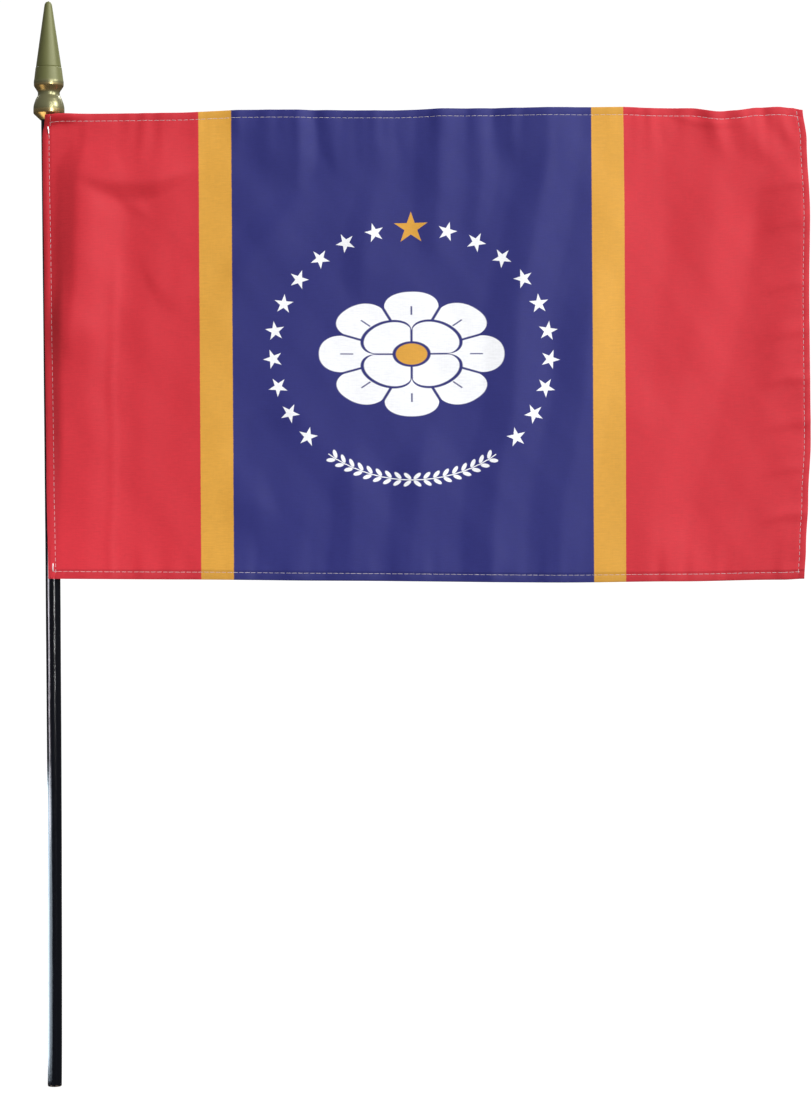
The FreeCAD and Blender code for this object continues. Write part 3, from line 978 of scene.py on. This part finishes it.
def gold_material():
    """Gold moulding: dull olive on the spear, turned below it, with a painted glint underneath."""
    material, tree, shader = new_material("gold_moulding", Specular_IOR_Level=0.5)
    place = object_place(tree)
    cloud = noise(tree, place, (120, 120, 90), 3.0)
    rings = noise(tree, place, (60, 60, 2600), 2.0)
    specks = noise(tree, place, (1800, 1800, 1800), 2.0)
    height = coordinates(tree, place)[2] - FINIAL_LOW.z
    turned = (height - DULL_END).inside(FINISH_EDGE)
    rim_glint, bell_glint = (
        (abs(height - middle) - half).inside(GLINT_BAND_EDGE)
        for middle, half in (RIM_GLINT_BAND, BELL_GLINT_BAND)
    )
    # painted glint: brighter gold, with more metal and less roughness, so the undersides also mirror
    # the warm card
    painted_glint = rim_glint.most(bell_glint)
    tone = cloud * 0.7 + specks * 0.3
    colour = mix(tree, turned, mix(tree, tone, *OLIVE), mix(tree, tone, *TURNED_METAL))
    colour = mix(tree, painted_glint, colour, PAINTED_GLINT_GOLD)
    tree.links.new(colour, shader.inputs["Base Color"])
    tree.links.new((turned * 0.45 + painted_glint * 0.30 + 0.16).socket, shader.inputs["Metallic"])
    rough = cloud * 0.12 + specks * 0.08 + 0.42 - turned * 0.18 - painted_glint * 0.08
    tree.links.new(rough.socket, shader.inputs["Roughness"])
    normal = bump(tree, rings, 0.03 * MM, 0.4)
    tree.links.new(bump(tree, specks, 0.03 * MM, 0.3, normal), shader.inputs["Normal"])
    return material


def staple_material():
    """Drawn steel wire."""
    material, tree, shader = new_material("staple_steel", Metallic=0.8)
    place = object_place(tree)
    drawn = noise(tree, place, (5000, 5000, 260), 2.0)
    colour = mix(tree, drawn, *STEEL)
    tree.links.new(colour, shader.inputs["Base Color"])
    tree.links.new((drawn * 0.15 + 0.32).socket, shader.inputs["Roughness"])
    tree.links.new(bump(tree, drawn, 0.02 * MM, 0.4), shader.inputs["Normal"])
    return material


# ---------------------------------------------------------------- room, lights and camera


def make_room():
    """A plain pale floor that curves up into a plain wall all round."""
    material, tree, shader = new_material("pale_room", Roughness=0.9, Specular_IOR_Level=0.0)
    place = object_place(tree)
    tone = noise(tree, place, (3, 3, 3), 2.0)
    colour = mix(tree, tone, (0.060, 0.060, 0.060), (0.065, 0.065, 0.065))
    tree.links.new(colour, shader.inputs["Base Color"])
    shader.inputs["Emission Color"].default_value = (1.0, 1.0, 1.0, 1.0)
    shader.inputs["Emission Strength"].default_value = 0.975
    reach, cove, tall, segments, steps = 3.4, 0.8, 4.5, 64, 8
    outline = [(0.0, 0.0), (0.4, 0.0), (1.2, 0.0), (reach - cove, 0.0)]
    for step in range(1, steps + 1):
        turn = math.pi / 2 * step / steps
        outline.append((reach - cove + cove * math.sin(turn), cove - cove * math.cos(turn)))
    outline += [(reach, tall), (0.0, tall)]
    room = lathe("pale_floor", outline, segments, material)
    room.data.flip_normals()
    room.visible_glossy = False
    room.visible_diffuse = False
    room.visible_shadow = False
    material.cycles.emission_sampling = "NONE"


def soft_light(name, azimuth, distance, height, size, power, aim, spread=180, colour=None):
    """A rectangular softbox turned to a height on the staff's axis.

    Azimuth 0 is the camera's side and 90 the flag's fly side, in degrees.
    """
    turn = math.radians(azimuth)
    lamp = bpy.data.lights.new(name, "AREA")
    lamp.shape = "RECTANGLE"
    lamp.size, lamp.size_y = size
    lamp.energy = power
    lamp.spread = math.radians(spread)
    if colour:
        lamp.color = colour
    light = bpy.data.objects.new(name, lamp)
    bpy.context.scene.collection.objects.link(light)
    light.location = (distance * math.sin(turn), -distance * math.cos(turn), height)
    towards = Vector((0.0, 0.0, aim)) - light.location
    light.rotation_euler = towards.to_track_quat("-Z", "Y").to_euler()
    light.visible_camera = False


MAUVE_LIGHT = (0.95, 0.90, 1.0)
BLUE_LIGHT = (0.72, 0.86, 1.0)
WARM_LIGHT = (1.0, 0.78, 0.48)


def make_lights():
    """Soft boxes for the whole, and small cards that the staff and the finial mirror."""
    soft_light("key_softbox", 27, 2.6, 1.35, size=(0.60, 2.20), power=50.0, aim=1.35)
    soft_light("high_softbox", 62, 6.0, 3.68, size=(2.1, 2.1), power=350.0, aim=0.44)
    for azimuth in (155, 205):
        name = f"back_softbox_{azimuth}"
        soft_light(name, azimuth, 3.2, 3.0, size=(1.6, 1.6), power=110.0, aim=0.40)
    soft_light(
        "left_tall_card", -70, 0.35, 0.215, size=(0.10, 0.20), power=0.125, aim=0.215,
        spread=60, colour=MAUVE_LIGHT,
    )
    soft_light(
        "line_card", 25, 0.60, 0.29, size=(0.014, 0.13), power=0.0035, aim=0.29, spread=14,
    )
    # The low cards reach below the floor, which no reflection shows, so the foot mirrors them too.
    for azimuth, power in ((-57, 0.13), (-95, 0.27), (-135, 0.205)):
        soft_light(
            f"left_low_card_{-azimuth}", azimuth, 0.35, 0.0555, size=(0.26, 0.20), power=power,
            aim=0.0555, spread=60, colour=BLUE_LIGHT,
        )
    soft_light(
        "under_card", -80, 0.34, 0.01, size=(0.42, 0.42), power=0.17, aim=0.60,
        spread=60, colour=WARM_LIGHT,
    )


def make_world():
    """A dim room that is lighter above, which the gloss and the gold mirror."""
    world = bpy.data.worlds.new("dim_room")
    bpy.context.scene.world = world
    world.use_nodes = True
    tree = world.node_tree
    way = add_node(tree, "ShaderNodeTexCoord").outputs["Generated"]
    up = coordinates(tree, way)[2]
    level = (up - 0.02).math("DIVIDE", 0.4, clamp=True) * 0.24 + 0.07
    tree.links.new(level.socket, tree.nodes["Background"].inputs["Strength"])
    tree.nodes["Background"].inputs["Color"].default_value = (0.97, 0.99, 1.0, 1.0)


def make_camera():
    """Level with the middle of the whole flag on its staff, and turned a little about its axis."""
    data = bpy.data.cameras.new("camera")
    data.lens = 100.0
    data.sensor_fit = "VERTICAL"
    data.sensor_height = 36.0
    data.clip_end = 20.0
    camera = bpy.data.objects.new("camera", data)
    bpy.context.scene.collection.objects.link(camera)
    camera.location = (0.2119, -1.825, 0.3188)
    camera.rotation_euler = (math.pi / 2, math.radians(0.375), 0.0)
    bpy.context.scene.camera = camera


# ---------------------------------------------------------------- the whole flag


def make_flag():
    """The sheet, with its front and back materials, in place of the CAD cloth and hem."""
    front = cloth_material("cloth_front", 0.0)
    back = cloth_material("cloth_back", BACK_PALENESS)
    sheet = make_cloth(front, back)
    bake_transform(sheet)
    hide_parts("flag_cloth", "hoist_hem")


make_room()
make_world()
make_lights()
make_camera()
make_flag()
make_threads(thread_material())
make_finial(gold_material())
make_staff(lacquer_material())
STAPLE_STEEL = staple_material()
for staple, lean in zip(STAPLES, STAPLE_LEANS):
    make_staple(staple, math.radians(lean), STAPLE_STEEL)
bpy.context.scene.view_settings.view_transform = "Standard"
